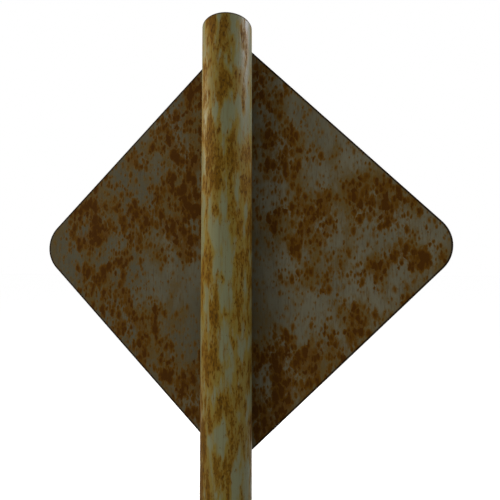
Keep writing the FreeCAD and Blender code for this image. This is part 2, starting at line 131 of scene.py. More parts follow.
def diamond(side, radius):
    # The same loop stood on one corner, from the middle of its right-hand corner.
    loop = turned(roundedSquare(side, radius), 45)
    return np.roll(loop, -int(np.argmax(loop[:, 0])), axis=0)


def towards(centre, radius, loop):
    # The points of a circle that face each point of the loop.
    away = loop - centre
    return centre + radius * away / np.linalg.norm(away, axis=1, keepdims=True)


def between(inner, outer, steps):
    # Rows of points on straight lines from one loop to the other.
    share = np.linspace(0, 1, steps)[:, None, None]
    return inner + share * (outer - inner)


def roundOver(thickness, radius, steps=4):
    # Section of a plate's edge as (inset, depth): a wall with a quarter circle at both ends.
    angle = np.linspace(0, np.pi / 2, steps)
    near = radius * np.stack([1 - np.sin(angle), 1 - np.cos(angle)], 1)
    far = np.stack([near[::-1, 0], thickness - near[::-1, 1]], 1)
    return np.concatenate([near, far])


def lathe(profile, steps):
    # A profile of (radius, height) pairs turned about the vertical axis.
    angle = np.linspace(0, 2 * np.pi, steps, endpoint=False)
    radius, height = np.asarray(profile, float).T
    x = radius[:, None] * np.cos(angle)
    y = radius[:, None] * np.sin(angle)
    return np.stack([x, y, np.repeat(height[:, None], steps, 1)], -1)


def facingFront(points, front, level):
    # Lays a shape turned about +Z along -Y, with its foot at the front and its axis at the level.
    x, y, z = np.moveaxis(points, -1, 0)
    return np.stack([x, front - z, level + y], -1)


def boreWall(place, loop, centre, radius, thickness, edge):
    # Wall of a round hole with rounded mouths: circles that face the loop's points, wider by the
    # section's inset at each depth. The place function sets a plane loop at a depth.
    section = roundOver(thickness, edge).tolist()
    return looped([place(towards(centre, radius + inset, loop), depth) for inset, depth in section])


def softCorners(points, reach, steps=5):
    # Swaps every corner of a polygon for the quadratic curve that starts and ends that far from it.
    towardsLast = np.roll(points, 1, 0) - points
    towardsNext = np.roll(points, -1, 0) - points
    first = points + reach * towardsLast / np.linalg.norm(towardsLast, axis=1, keepdims=True)
    last = points + reach * towardsNext / np.linalg.norm(towardsNext, axis=1, keepdims=True)
    share = np.linspace(0, 1, steps)[None, :, None]
    curve = (1 - share) ** 2 * first[:, None] + 2 * share * (1 - share) * points[:, None]
    return (curve + share**2 * last[:, None]).reshape(-1, 2)


def drawnIn(loop, inset):
    # Moves each point of an anticlockwise loop inwards along the bisector of its two sides.
    side = np.roll(loop, -1, 0) - loop
    side /= np.linalg.norm(side, axis=1, keepdims=True)
    normal = np.stack([-side[:, 1], side[:, 0]], 1)
    before = np.roll(normal, 1, 0)
    return loop + inset * (before + normal) / (1 + (before * normal).sum(1, keepdims=True))


def ring(inner, outer, thickness, squareness, steps):
    # Washer: a superellipse, |x/a|^n + |z/b|^n = 1, turned about the axis.
    angle = np.linspace(0, 2 * np.pi, 33)
    cosine, sine = np.cos(angle), np.sin(angle)
    across = np.sign(cosine) * np.abs(cosine) ** (2 / squareness)
    up = np.sign(sine) * np.abs(sine) ** (2 / squareness)
    radius = (inner + outer) / 2 + (outer - inner) / 2 * across
    return lathe(np.stack([radius, thickness / 2 * (1 + up)], 1), steps)


def bead(corners, outwards, upwards, leg, pitch, closed=False):
    # Fillet weld: a bulging section carried along a line of corner points. Its surface runs from one
    # leg to the other as out x cos^1.3 + up x sin^1.3, swells in crescents along the line, and
    # shrinks like an ellipse to a point at an open end.
    run = np.append(0, np.cumsum(np.linalg.norm(np.diff(corners, axis=0), axis=1)))
    ripples = round(run[-1] / pitch)
    across = np.linspace(0, np.pi / 2, 9)
    phase = ripples * run[:, None] / run[-1] - 0.4 * np.sin(2 * across)
    size = leg * (0.95 + 0.1 * np.abs(np.sin(np.pi * phase)))
    if not closed:
        left = np.clip(np.minimum(run, run[-1] - run) / leg, 0, 1)
        size = size * np.sqrt(1 - (1 - left) ** 2)[:, None]
    out = outwards[:, None] * np.cos(across)[None, :, None] ** 1.3
    up = upwards[:, None] * np.abs(np.sin(across))[None, :, None] ** 1.3
    skin = size[..., None] * (out + up)
    return looped(corners[:, None] + np.concatenate([0 * skin[:, :1], skin], 1))


# Places and sizes read from the frame

def middleHeight(name):
    low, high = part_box(name)
    return (low.z + high.z) / 2


panelLow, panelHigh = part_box("sign_panel")
signCentre = middleHeight("sign_panel")
postLow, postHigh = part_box("post_tube")
postRadius = postHigh.x
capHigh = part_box("post_cap")[1]
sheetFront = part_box("face_sheeting")[0].y
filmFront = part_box("face_border")[0].y
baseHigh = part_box("base_plate")[1]
fixingLevels = {name: middleHeight(f"{name}_bolt") for name in ("upper", "lower")}


# Node trees: a value that is a socket is linked, any other is set on the input itself

def addNode(tree, kind, inputs=None, **settings):
    made = tree.nodes.new(f"ShaderNode{kind}")
    for name, value in settings.items():
        setattr(made, name, value)
    for socket, value in (inputs or {}).items():
        if isinstance(value, bpy.types.NodeSocket):
            tree.links.new(value, made.inputs[socket])
        else:
            made.inputs[socket].default_value = value
    return made


def paint(red, green, blue):
    # A screen colour from 0 to 255 as the linear colour that shaders take.
    screen = np.array([red, green, blue]) / 255
    linear = np.where(screen <= 0.04045, screen / 12.92, ((screen + 0.055) / 1.055) ** 2.4)
    return (*linear.tolist(), 1.0)


def calculate(tree, operation, first, second=0.0, third=0.0):
    sockets = {0: first, 1: second, 2: third}
    return addNode(tree, "Math", sockets, operation=operation).outputs[0]


def scaled(tree, value, share, start=0.0):
    # The value times the share, and the start added.
    return calculate(tree, "MULTIPLY_ADD", value, share, start)


def vector(tree, operation, first, second=(0, 0, 0), result="Vector"):
    sockets = {0: first, 1: second}
    return addNode(tree, "VectorMath", sockets, operation=operation).outputs[result]


def coordinate(tree, place, axis):
    return addNode(tree, "SeparateXYZ", {"Vector": place}).outputs[axis]


def step(tree, value, low, high, top=1.0):
    # Rises smoothly from 0 to top between low and high.
    sockets = {"Value": value, "From Min": low, "From Max": high, "To Max": top}
    return addNode(tree, "MapRange", sockets, interpolation_type="SMOOTHSTEP").outputs[0]


def coats(tree, colour, look, *layers):
    # Lays each named colour over the ones before it, by its share.
    for name, share in layers:
        sockets = {0: share, 6: colour, 7: look[name]}
        colour = addNode(tree, "Mix", sockets, data_type="RGBA").outputs[2]
    return colour


def stretched(tree, place, share):
    # The same space with heights counted at a share of their length, which draws patterns out.
    return addNode(tree, "Mapping", {"Vector": place, "Scale": (1.0, 1.0, share)}).outputs[0]


def noise(tree, place, scale, detail=3.0, roughness=0.55, seed=0.0):
    sockets = {"Vector": place, "W": seed, "Scale": scale, "Detail": detail, "Roughness": roughness}
    return addNode(tree, "TexNoise", sockets, noise_dimensions="4D").outputs[0]


def patchField(tree, place, patches):
    # Highest of many soft round patches, each (x, y, z, radius, strength).
    total = 0.0
    for x, y, z, radius, strength in patches:
        apart = vector(tree, "DISTANCE", place, (x, y, z), "Value")
        rise = step(tree, apart, radius, 0.25 * radius, strength)
        total = calculate(tree, "MAXIMUM", rise, total)
    return total


def ragged(tree, place, scale, amount):
    # The same space pushed about by soft noise, so that whatever reads it gets torn edges.
    cloud = addNode(tree, "TexNoise", {"Vector": place, "Scale": scale, "Detail": 3.0}).outputs["Color"]
    shift = vector(tree, "SUBTRACT", cloud, (0.5, 0.5, 0.5))
    return vector(tree, "ADD", place, vector(tree, "MULTIPLY", shift, (amount, amount, amount)))


def specks(tree, place, scale, field):
    # One round spot in each random cell: field x (1.2 x the cell's chance - 0.02) less the distance
    # from its middle, so spots grow and run together where the field is high.
    cell = addNode(tree, "TexVoronoi", {"Vector": place, "Scale": scale})
    chance = addNode(tree, "SeparateColor", {"Color": cell.outputs["Color"]}).outputs[0]
    reach = scaled(tree, field, scaled(tree, chance, 1.2, -0.02))
    return calculate(tree, "SUBTRACT", reach, cell.outputs["Distance"])


def newMaterial(name, specular):
    material = bpy.data.materials.new(name)
    material.use_nodes = True
    tree = material.node_tree
    shader = tree.nodes["Principled BSDF"]
    shader.inputs["Specular IOR Level"].default_value = specular
    place = addNode(tree, "TexCoord").outputs["Object"]
    return material, tree, shader, place


def dress(tree, shader, colour, roughness, bump, height):
    # Joins the finished colour, roughness and bump height to the shader.
    tree.links.new(colour, shader.inputs["Base Color"])
    tree.links.new(roughness, shader.inputs["Roughness"])
    sockets = {"Height": bump, "Distance": height, "Strength": 1.0}
    tree.links.new(addNode(tree, "Bump", sockets).outputs[0], shader.inputs["Normal"])


panel = {
    "cornerRadius": 0.05,
    "edgeRadius": 0.0004,
    "rimBand": 0.003,  # flat band just inside the rounded edge
    "holeRadius": 0.0045,
    "fieldSteps": 10,
}
panelSide = (panelHigh.x + panel["cornerRadius"] * (math.sqrt(2) - 1)) * math.sqrt(2)


# Bare back of the panel: dull grey-olive zinc under brown stain, with clusters of small rust spots and a
# painted shade line along its edge

panelFinish = {
    "zincDark": paint(61, 58, 45),
    "zincPale": paint(79, 76, 62),
    "stain": paint(67, 53, 23),
    "halo": paint(73, 55, 15),
    "rustRim": paint(67, 43, 6),
    "rustHeart": paint(52, 29, 3),
    "edgeShadeLine": paint(22, 14, 5),
    "zincRoughness": 0.55,
    "specular": 0.03,
    "largeSpots": 105.0,  # spots to a metre
    "smallSpots": 200.0,
    "edgeShadeBand": 0.0036,  # width of the painted shade line along the sheet's edge
    "clusters": [  # x, z and radius of each cluster, and how thick its rust is
        (0.24, 1.87, 0.085, 1.0),
        (0.227, 1.775, 0.085, 0.9),
        (0.19, 1.725, 0.08, 0.85),
        (0.145, 1.69, 0.09, 0.75),
        (0.14, 1.64, 0.07, 0.8),
        (0.08, 1.61, 0.08, 0.9),
        (0.08, 1.877, 0.09, 0.85),
        (0.16, 1.875, 0.06, 0.6),
        (0.12, 1.937, 0.04, 0.7),
        (0.147, 1.99, 0.035, 0.8),
        (0.093, 2.023, 0.08, 0.8),
        (0.073, 2.09, 0.07, 0.85),
        (-0.06, 2.09, 0.07, 0.6),
        (-0.077, 1.99, 0.07, 0.7),
        (-0.12, 1.87, 0.07, 1.0),
        (-0.227, 1.903, 0.07, 0.9),
        (-0.14, 1.79, 0.075, 0.5),
        (-0.207, 1.8, 0.06, 0.6),
        (-0.287, 1.807, 0.04, 0.9),
        (-0.21, 1.71, 0.055, 0.7),
        (-0.067, 1.643, 0.085, 1.0),
        (-0.06, 1.57, 0.06, 0.8),
    ],
}


def panelMaterial():
    look = panelFinish
    material, tree, shader, place = newMaterial("weatheredPanel", look["specular"])
    sag = stretched(tree, place, 0.55)
    torn = ragged(tree, place, 22.0, 0.07)
    depth = (panelLow.y + panelHigh.y) / 2
    patches = [(x, depth, z, radius, strength) for x, z, radius, strength in look["clusters"]]
    field = patchField(tree, torn, patches)
    broad = step(tree, noise(tree, sag, 10.0, seed=3.1), 0.35, 0.7, 0.4)
    field = scaled(tree, field, 0.62, calculate(tree, "ADD", broad, 0.14))
    clump = step(tree, noise(tree, sag, 42.0, detail=5.0, roughness=0.65, seed=4.0), 0.32, 0.66, 0.95)
    field = scaled(tree, field, calculate(tree, "ADD", clump, 0.42))
    aside = step(tree, coordinate(tree, place, "X"), 0.2, -0.2, 0.3)
    pale = calculate(tree, "ADD", noise(tree, sag, 14.0, seed=1.0), aside)
    grain = noise(tree, stretched(tree, place, 0.12), 380.0, seed=5.0)
    cloud = scaled(tree, field, 0.3, noise(tree, sag, 26.0, detail=5.0, seed=7.0))
    frayed = ragged(tree, sag, look["largeSpots"] * 2.5, 0.004)
    large = specks(tree, frayed, look["largeSpots"], field)
    small = specks(tree, frayed, look["smallSpots"], field)
    rust = calculate(tree, "MAXIMUM", large, small)
    rim = step(tree, rust, -0.14, 0.12)
    layers = [
        ("zincPale", step(tree, pale, 0.42, 0.92)),
        ("zincDark", step(tree, grain, 0.35, 0.8, 0.3)),
        ("stain", step(tree, cloud, 0.53, 0.77, 0.85)),
        ("halo", step(tree, rust, -0.38, 0.0, 0.55)),
        ("rustRim", step(tree, field, 0.5, 1.0, 0.85)),
        ("rustRim", rim),
        ("rustHeart", step(tree, rust, 0.06, 0.4)),
        ("rustHeart", step(tree, grain, 0.5, 0.78, 0.5)),
        # Painted shade: a near-black line along the sheet's outline
        ("edgeShadeLine", step(tree, edgeDistance(tree, place), look["edgeShadeBand"], 0.6 * look["edgeShadeBand"], 0.92)),
    ]
    colour = coats(tree, look["zincDark"], look, *layers)
    roughness = scaled(tree, rim, 0.3, look["zincRoughness"])
    relief = scaled(tree, rim, 0.6, scaled(tree, grain, 0.25))
    dress(tree, shader, colour, roughness, relief, 0.0004)
    return material


def edgeDistance(tree, place):
    # Distance inside the sheet's outline near its edge: the corner radius less how far a point lies
    # past a square that is smaller by that radius on every side.
    level = vector(tree, "SUBTRACT", place, (0, 0, signCentre))
    flat = vector(tree, "MULTIPLY", level, (1, 0, 1))
    square = addNode(tree, "Mapping", {"Vector": flat, "Rotation": (0, math.radians(45), 0)}).outputs[0]
    core = panelSide / 2 - panel["cornerRadius"]
    past = vector(tree, "SUBTRACT", vector(tree, "ABSOLUTE", square), (core, 0, core))
    outside = vector(tree, "LENGTH", vector(tree, "MAXIMUM", past), result="Value")
    return calculate(tree, "SUBTRACT", panel["cornerRadius"], outside)


# Post: vertical streaks of olive stain and dark rust over pale grey-green zinc, with patches of painted
# shade and painted highlight, and painted shade over the cap

postFinish = {
    "zinc": paint(85, 86, 63),
    "olive": paint(89, 77, 31),
    "ochre": paint(86, 63, 12),
    "rust": paint(70, 47, 3),
    "heart": paint(46, 30, 2),
    "crown": paint(40, 26, 8),  # painted shade over the cap's rim and dome, standing in for the dark line along the post's top edge
    "specular": 0.045,
    "footRust": (0.42, 0.04),  # height where the ground's rust starts and where it is thickest
    "rimBand": (0.0008, 0.0002, 0.9),  # painted shade line's start below the tube's top, end above it, strength
    "broad": 80.0,  # the next four are marks to a metre, roughly
    "marks": 175.0,
    "mottle": 380.0,
    "grain": 460.0,
    "bareAndHighlight": [  # angle from +X, height, size and strength of each clean island; those at 178 and 180 degrees are painted highlight along the -X edge near the top
        (64, 2.076, 0.05, 0.9),
        (108, 2.016, 0.04, 0.7),
        (122, 2.13, 0.06, 1.0),
        (150, 2.1, 0.06, 0.8),
        (45, 1.966, 0.03, 0.8),
        (47, 1.856, 0.05, 0.8),
        (80, 1.84, 0.045, 0.9),
        (107, 1.816, 0.05, 0.9),
        (96, 1.74, 0.05, 1.0),
        (53, 1.74, 0.04, 0.7),
        (75, 1.63, 0.04, 0.8),
        (88, 1.566, 0.045, 0.9),
        (65, 1.53, 0.04, 0.7),
        (140, 1.5, 0.05, 0.7),
        (180, 2.14, 0.08, 1.0),
        (178, 2.05, 0.07, 1.0),
        (150, 1.43, 0.05, 0.8),
        (22, 1.82, 0.04, 0.8),
        (30, 2.13, 0.05, 0.9),
    ],
    "stainsAndShade": [  # the same of each stained patch; those at 30 to 50 degrees below 1.6 m and at 170 and 172 degrees are painted shade
        (94, 2.12, 0.05, 0.9),
        (88, 2.06, 0.05, 1.0),
        (55, 2.05, 0.03, 0.8),
        (73, 1.946, 0.05, 0.9),
        (114, 1.94, 0.04, 0.9),
        (62, 1.816, 0.03, 0.8),
        (44, 1.776, 0.03, 0.8),
        (77, 1.74, 0.04, 0.8),
        (64, 1.59, 0.04, 0.9),
        (107, 1.6, 0.05, 0.9),
        (81, 1.526, 0.03, 0.8),
        (105, 1.526, 0.03, 0.8),
        (66, 2.15, 0.03, 0.9),
        (57, 2.0, 0.04, 0.9),
        (45, 1.5, 0.07, 1.3),
        (50, 1.44, 0.05, 0.8),
        (45, 1.7, 0.04, 0.8),
        (32, 1.56, 0.06, 1.6),
        (30, 1.45, 0.08, 1.8),
        (64, 1.67, 0.05, 1.2),
        (170, 1.92, 0.07, 1.0),
        (172, 1.8, 0.06, 0.9),
    ],
}


def onPost(patches):
    # Patches given by angle round the post, in a space where heights are a third as long and each
    # patch is 2.4 times smaller.
    spread = []
    for degrees, height, size, strength in patches:
        x, y = turned(np.array([postRadius, 0]), degrees)
        spread.append((x, y, height / 3, size / 2.4, strength))
    return spread


def postMaterial():
    look = postFinish
    material, tree, shader, place = newMaterial("streakedPost", look["specular"])
    tall = stretched(tree, place, 1 / 3)
    streak = stretched(tree, place, 0.25)
    fine = stretched(tree, place, 0.05)
    # Stain and clean patches: some dark ones are painted shade on the +X flank low down and the -X edge at
    # mid height, and some clean ones painted highlight on the -X edge near the top
    bareAndHighlight = patchField(tree, tall, onPost(look["bareAndHighlight"]))
    stainsAndShade = patchField(tree, tall, onPost(look["stainsAndShade"]))
    lean = calculate(tree, "SUBTRACT", stainsAndShade, bareAndHighlight)
    start, end = look["footRust"]
    height = coordinate(tree, place, "Z")
    lean = calculate(tree, "ADD", lean, step(tree, height, start, end, 2.0))
    broad = noise(tree, stretched(tree, place, 0.3), look["broad"], roughness=0.5, seed=2.0)
    broad = scaled(tree, lean, 0.1, broad)
    marks = noise(tree, streak, look["marks"], detail=6.0, roughness=0.68, seed=5.7)
    marks = scaled(tree, lean, 0.04, marks)
    cloud = scaled(tree, marks, 0.55, scaled(tree, broad, 0.45))
    short = stretched(tree, place, 0.45)
    mottle = noise(tree, short, look["mottle"], detail=4.0, roughness=0.6, seed=9.0)
    brown = step(tree, cloud, 0.46, 0.58)
    dark = scaled(tree, brown, 0.2, mottle)
    grain = noise(tree, fine, look["grain"], detail=4.0, seed=6.0)
    spots = scaled(tree, cloud, 0.5, mottle)
    # Painted shade: dark from just below the tube's top over the whole cap, for the dark line along its
    # top edge
    below, above, strength = look["rimBand"]
    rim = step(tree, height, postHigh.z - below, postHigh.z + above, strength)
    layers = [
        ("olive", step(tree, broad, 0.39, 0.53)),
        ("ochre", brown),
        ("rust", step(tree, cloud, 0.54, 0.62, 0.8)),
        ("rust", step(tree, dark, 0.6, 0.72, 0.8)),
        ("heart", step(tree, dark, 0.68, 0.84, 0.75)),
        ("heart", step(tree, spots, 0.88, 0.96, 0.85)),
        ("rust", step(tree, grain, 0.5, 0.72, 0.4)),
        # painted shade on the cap
        ("crown", rim),
    ]
    colour = coats(tree, look["zinc"], look, *layers)
    roughness = scaled(tree, calculate(tree, "MAXIMUM", brown, rim), 0.35, 0.45)
    relief = scaled(tree, dark, 0.5, scaled(tree, grain, 0.5))
    dress(tree, shader, colour, roughness, relief, 0.0004)
    return material


# Sign panel: flat steel sheet on its corner, its edge rounded over, with a hole for each bolt

def onSign(loop, depth):
    # A loop in the sign's plane as points at a distance behind the front.
    return np.stack([loop[:, 0], np.full(len(loop), depth), signCentre + loop[:, 1]], -1)


def signSheet(side, corner, front, thickness, edge):
    # Edge section carried round the diamond, then each half of both flats drawn from its bolt hole to
    # the band and the line between the two halves.
    def loopAt(inset):
        return diamond(side - 2 * inset, corner - inset)

    def behind(loop, depth):
        return onSign(loop, front + depth)

    band, holeRadius = panel["rimBand"], panel["holeRadius"]
    rim = [(band, 0.0), *roundOver(thickness, edge).tolist(), (band, thickness)]
    fields = [looped([behind(loopAt(inset), depth) for inset, depth in rim])]
    inner = loopAt(band)
    half = len(inner) // 2
    seam = np.linspace(inner[half], inner[0], 24)[1:-1]
    for name, hand in (("upper", 1), ("lower", -1)):
        outer = np.concatenate([inner[: half + 1], seam]) * (1, hand)
        centre = np.array([0, fixingLevels[name] - signCentre])
        rows = between(towards(centre, holeRadius + edge, outer), outer, panel["fieldSteps"])
        fields += [looped([behind(row, depth) for row in rows]) for depth in (0.0, thickness)]
        fields.append(boreWall(behind, outer, centre, holeRadius, thickness, edge))
    return fields


def makePanel():
    thickness = panelHigh.y - panelLow.y
    fields = signSheet(panelSide, panel["cornerRadius"], panelLow.y, thickness, panel["edgeRadius"])
    standFor(makePiece("panelSheet", fields, panelMaterial()), "panel_steel", "sign_panel")


makePanel()


# Face of the sign: yellow reflective sheet, black border and black arrow for a bend in the road

face = {
    "sheetMargin": 0.001,
    "sheetEdge": 0.00012,
    "borderInsets": (0.012, 0.026),
    "borderEdge": 0.00005,
    "yellow": paint(222, 164, 24),
    "faded": paint(226, 188, 84),
    "cell": paint(196, 140, 16),
    "dirt": paint(112, 92, 50),
    "rustRim": paint(134, 78, 26),
    "rustHeart": paint(74, 44, 18),
    "black": paint(24, 23, 22),
    "chalk": paint(58, 56, 50),
    "sheetSpecular": 0.5,
    "filmSpecular": 0.4,
    "cellSize": 0.0036,
    "rustSpots": 110.0,  # rust spots and chips to a metre
    "chips": 190.0,
    "bleed": 0.17,  # length of the rust run under a bolt
    "bleedDrop": 0.008,  # how far below the bolt's axis it starts
    "flaked": [  # x, z, radius and strength where the film has lifted and the steel rusts
        (0.25, 1.8, 0.05, 0.8),
        (-0.29, 1.85, 0.045, 0.9),
        (-0.11, 2.02, 0.035, 0.7),
        (0.16, 1.7, 0.03, 0.6),
        (-0.07, 1.57, 0.05, 0.9),
        (0.03, 2.12, 0.04, 0.8),
    ],
}


def underBolts(tree, place):
    # Runs of rust below both bolts, each the product of three smooth steps: a start just under the
    # bolt, a long fade down the sheet and a narrow width.
    torn = ragged(tree, stretched(tree, place, 0.3), 60.0, 0.02)
    aside = calculate(tree, "ABSOLUTE", coordinate(tree, torn, "X"))
    height = coordinate(tree, place, "Z")
    total = 0.0
    for level in fixingLevels.values():
        below = calculate(tree, "SUBTRACT", level - face["bleedDrop"], height)
        started = step(tree, below, -0.01, 0.01)
        fade = step(tree, below, face["bleed"], 0.0)
        narrow = step(tree, aside, 0.016, 0.002)
        run = scaled(tree, scaled(tree, started, fade), narrow)
        total = calculate(tree, "MAXIMUM", total, run)
    return total


def sheetingMaterial():
    look = face
    material, tree, shader, place = newMaterial("fadedYellowSheet", look["sheetSpecular"])
    sag = stretched(tree, place, 0.5)
    runs = stretched(tree, place, 0.06)
    faded = step(tree, noise(tree, sag, 8.0, detail=4.0, seed=1.3), 0.3, 0.7)
    aside, height = coordinate(tree, place, "X"), coordinate(tree, place, "Z")
    weave = []
    for operation in ("ADD", "SUBTRACT"):
        slant = calculate(tree, operation, aside, height)
        turns = scaled(tree, slant, math.pi / look["cellSize"])
        weave.append(calculate(tree, "SINE", turns))
    lattice = calculate(tree, "ABSOLUTE", scaled(tree, *weave))
    cell = step(tree, lattice, 0.16, 0.0, 0.5)
    dirt = noise(tree, runs, 150.0, detail=5.0, roughness=0.6, seed=4.0)
    low = step(tree, height, panelHigh.z, panelLow.z, 0.12)
    dirt = step(tree, calculate(tree, "ADD", dirt, low), 0.52, 0.82, 0.75)
    dirty = coats(tree, look["yellow"], look, ("faded", faded), ("cell", cell), ("dirt", dirt))
    patches = [(x, sheetFront, z, radius, strength) for x, z, radius, strength in look["flaked"]]
    field = patchField(tree, ragged(tree, place, 30.0, 0.07), patches)
    edge = step(tree, edgeDistance(tree, ragged(tree, place, 50.0, 0.02)), 0.012, 0.0, 0.75)
    field = calculate(tree, "MAXIMUM", calculate(tree, "MAXIMUM", field, edge), 0.12)
    clump = step(tree, noise(tree, sag, 50.0, detail=4.0, seed=6.0), 0.2, 0.7, 1.1)
    field = scaled(tree, field, clump)
    rust = specks(tree, ragged(tree, sag, 240.0, 0.006), look["rustSpots"], field)
    bleed = scaled(tree, underBolts(tree, place), 0.8)
    halo = calculate(tree, "MAXIMUM", step(tree, rust, -0.32, 0.05, 0.6), bleed)
    heart = step(tree, rust, 0.02, 0.18)
    colour = coats(tree, dirty, look, ("rustRim", halo), ("rustHeart", heart))
    worn = calculate(tree, "MAXIMUM", heart, scaled(tree, dirt, 0.6))
    roughness = scaled(tree, worn, 0.45, 0.32)
    relief = scaled(tree, lattice, 0.12, scaled(tree, heart, -0.8))
    dress(tree, shader, colour, roughness, relief, 0.0003)
    return material


def filmMaterial():
    look = face
    material, tree, shader, place = newMaterial("chalkedBlackFilm", look["filmSpecular"])
    chalk = noise(tree, stretched(tree, place, 0.15), 90.0, detail=5.0, roughness=0.6, seed=2.2)
    chalk = step(tree, chalk, 0.42, 0.8)
    thin = step(tree, noise(tree, place, 16.0, detail=4.0, seed=8.8), 0.5, 0.75, 0.4)
    chips = specks(tree, ragged(tree, place, 300.0, 0.006), look["chips"], thin)
    chip = step(tree, chips, 0.02, 0.1)
    colour = coats(tree, look["black"], look, ("chalk", chalk), ("faded", chip))
    roughness = scaled(tree, chalk, 0.35, 0.38)
    fine = noise(tree, place, 500.0, seed=3.3)
    dress(tree, shader, colour, roughness, calculate(tree, "SUBTRACT", fine, chip), 0.00012)
    return material


def borderFields():
    # Closed section of a thin strip, its front corners eased, carried round the diamond.
    first, last = face["borderInsets"]
    ease = face["borderEdge"]
    thickness = sheetFront - filmFront
    section = [(first, thickness), (first, ease), (first + ease, 0.0)]
    section += [(last - ease, 0.0), (last, ease), (last, thickness), (first, thickness)]
    rows = [
        onSign(diamond(panelSide - 2 * inset, panel["cornerRadius"] - inset), filmFront + depth)
        for inset, depth in section
    ]
    return [looped(rows)]


def makeFace():
    side, corner = panelSide - 2 * face["sheetMargin"], panel["cornerRadius"] - face["sheetMargin"]
    fields = signSheet(side, corner, sheetFront, panelLow.y - sheetFront, face["sheetEdge"])
    standFor(makePiece("yellowSheet", fields, sheetingMaterial()), "sheeting_yellow", "face_sheeting")
    film = filmMaterial()
    standFor(makePiece("blackBorder", borderFields(), film), "legend_black", "face_border")
    dressNode("face_arrow", film)


makeFace()


# Post: round tube with a rounded top end, a drain low on its back and two holes for the rivet nuts

post = {
    "wall": 0.0032,
    "columns": 144,
    "rowHeight": 0.012,
    "endRadius": 0.0003,
    "drain": (90, 0.005),  # angle from +X and radius
    "drainHeight": 0.02,  # above the tube's lower end
    "nutHole": (270, 0.00555),
    "windowColumns": 6,
}


def wrapTube(field, radius):
    # Points given as (angle, height) wrapped round the post: x = R cos angle, y = R sin angle.
    angle, height = field[..., 0], field[..., 1]
    return np.stack([radius * np.cos(angle), radius * np.sin(angle), height], -1)


def windowLoop(half):
    # Whole steps round a square, anticlockwise from its lower right corner.
    steps = np.arange(-half, half)
    reach = np.full(2 * half, half)
    sides = [(reach, steps), (-steps, reach), (-reach, -steps), (steps, -reach)]
    return np.concatenate([np.stack(side, 1) for side in sides])


def tubeFields():
    # Two concentric grids of angle and height, each with a square window round every hole. Straight
    # rows fill a window from its edge to the hole, whose point at t is arcsin(r cos t / R) round the
    # tube and r sin t up from the hole's middle. The upper end is a quarter circle on both sides.
    columns = post["columns"]
    turn = 2 * np.pi / columns
    high = turn * postRadius  # a window's cells are square
    low, top = postLow.z, postHigh.z
    inner = postRadius - post["wall"]
    holes = [(*post["drain"], low + post["drainHeight"])]
    holes += [(*post["nutHole"], level) for level in fixingLevels.values()]
    half = post["windowColumns"] // 2
    levels = np.arange(low, top, post["rowHeight"])
    for _, _, level in holes:
        span = level + high * np.arange(-half, half + 1)
        levels = np.concatenate([levels[(levels < span[0] - high) | (levels > span[-1] + high)], span])
    levels = np.sort(np.append(levels, top - post["endRadius"]))
    middles = (levels[1:] + levels[:-1]) / 2
    grid = np.stack(np.meshgrid(turn * np.arange(columns), levels), -1)
    edge = windowLoop(half)
    facing = np.arctan2(edge[:, 1], edge[:, 0])
    fields, rims = [], {}
    for radius in (postRadius, inner):
        kept = np.ones((len(levels) - 1, columns), bool)
        for hole in holes:
            degrees, size, level = hole
            centre = math.radians(degrees)
            first = round(centre / turn) - half
            rows = np.abs(middles - level) < half * high
            kept[np.ix_(rows, np.arange(first, first + 2 * half) % columns)] = False
            window = edge * (turn, high) + (centre, level)
            across = np.arcsin(size * np.cos(facing) / radius)
            circle = np.stack([centre + across, level + size * np.sin(facing)], 1)
            patch = wrapTube(between(circle, window, 4), radius)
            fields.append(looped(patch))
            rims.setdefault(hole, []).append(patch[0])
        fields.append((wrapTube(grid, radius), True, kept))
    fields += [looped(pair) for pair in rims.values()]
    angle = np.linspace(0, np.pi / 2, 4)
    rounding = post["endRadius"] * np.stack([1 - np.cos(angle), np.sin(angle)], 1)
    shoulder = np.stack([postRadius - rounding[:, 0], top - post["endRadius"] + rounding[:, 1]], 1)
    throat = np.stack([inner + rounding[:, 0], shoulder[:, 1]], 1)
    fields.append(looped(lathe(np.concatenate([shoulder, throat[::-1]]), columns)))
    fields.append(looped(lathe([(postRadius, low), (inner, low)], columns)))
    return fields


cap = {
    "rimHeight": 0.0015,
    "rimRadius": 0.0005,
    "skirtRadius": 0.03475,
    "skirtWall": 0.0025,
    "skirtLength": 0.024,
    "ease": 0.0002,  # bevel of every lower corner
}


def capProfile():
    # From the top of the dome, which falls as the square of the radius, round the rim and the skirt.
    foot = postHigh.z
    level = foot + cap["rimHeight"]
    rise = capHigh.z - level
    rounding = cap["rimRadius"]
    edge = postRadius - rounding
    out = np.linspace(0, edge, 12)
    dome = np.stack([out, level + rise * (1 - (out / postRadius) ** 2)], 1)
    angle = np.linspace(0, np.pi / 2, 5)[1:]
    start = dome[-1, 1] - rounding
    turn = np.stack([edge + rounding * np.sin(angle), start + rounding * np.cos(angle)], 1)
    skirt, inner = cap["skirtRadius"], cap["skirtRadius"] - cap["skirtWall"]
    end = foot - cap["skirtLength"]
    ease = cap["ease"]
    rest = [
        (postRadius, foot + ease),
        (postRadius - ease, foot),
        (skirt, foot),
        (skirt, end + ease),
        (skirt - ease, end),
        (inner + ease, end),
        (inner, end + ease),
        (inner, foot),
        (0, foot),
    ]
    return np.concatenate([dome, turn, rest])


def makePost():
    streaked = postMaterial()
    standFor(makePiece("postTube", tubeFields(), streaked), "post_steel", "post_tube")
    dome = looped(lathe(capProfile(), post["columns"]))
    standFor(makePiece("domedCap", [dome], streaked), "cap_steel", "post_cap")


makePost()


# Steel that was galvanised and has aged: zinc, brown stain, rust spots and dust where it lies flat

